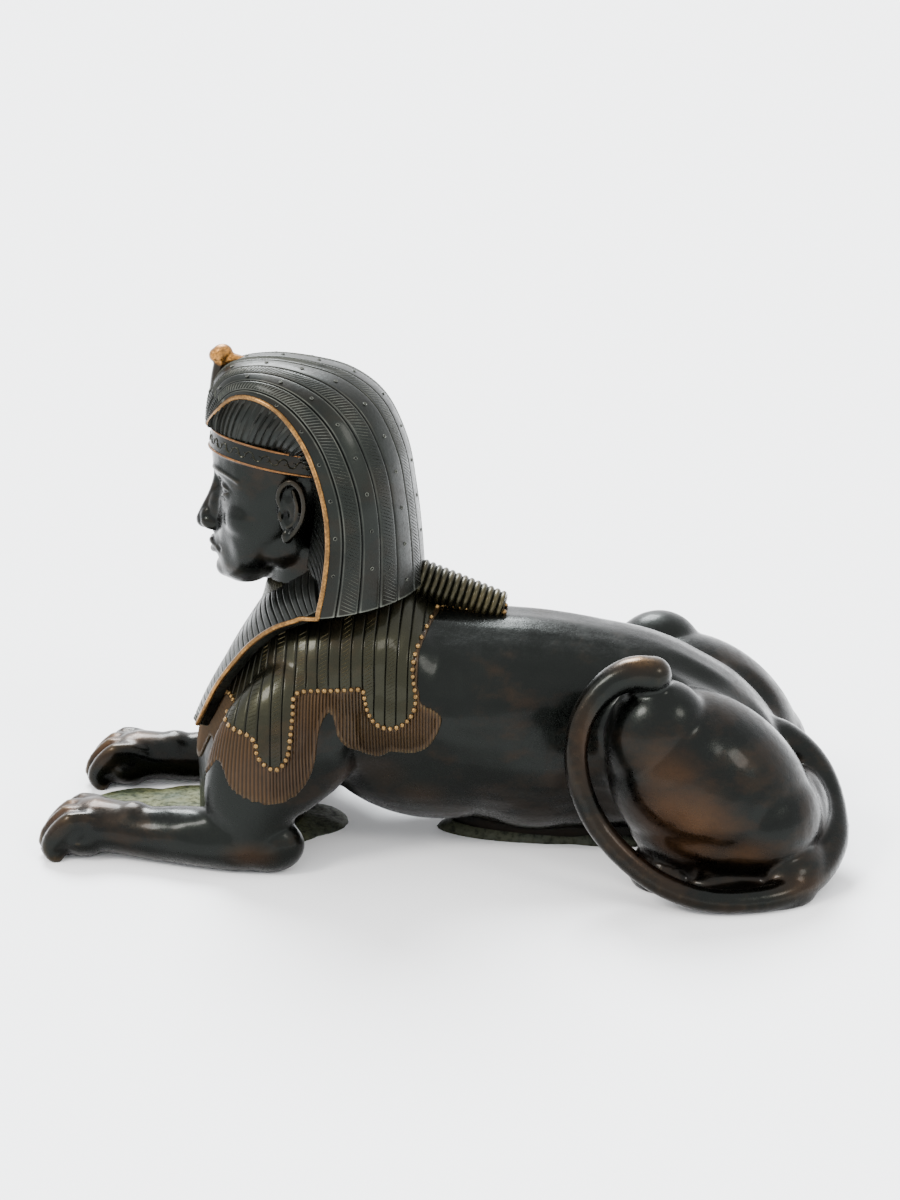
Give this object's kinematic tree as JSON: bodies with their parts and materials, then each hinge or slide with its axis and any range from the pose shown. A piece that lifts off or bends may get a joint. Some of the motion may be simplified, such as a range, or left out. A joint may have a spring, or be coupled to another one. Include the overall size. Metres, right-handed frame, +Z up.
{
  "type": "sphinx statue",
  "caption": "Recumbent Egyptian sphinx with striped headcloth, pigtail, cobra stub, beaded mantle and curled tail, hollow cast in dark patinated bronze",
  "frame": {"origin": "on the flat underside, on the body's middle plane, between the fore and hind quarters", "axes": "face looks along -X, tail end at +X, -Y is the sphinx's left side where the tail lies, +Z up"},
  "size_m": [0.4752, 0.2082, 0.2975],
  "materials": {
    "dark_bronze": "dark brown-black patinated bronze with a green-grey tint, waxed gloss and warm rubbed highlights",
    "worn_gilt": "worn warm gilding on the cobra stub, the headcloth's edge, headband lines and beads",
    "ground_bronze": "matt bronze ground with yellow-green verdigris"
  },
  "bodies": {
    "root": {"sphinx": "dark_bronze"}
  },
  "joints": []
}
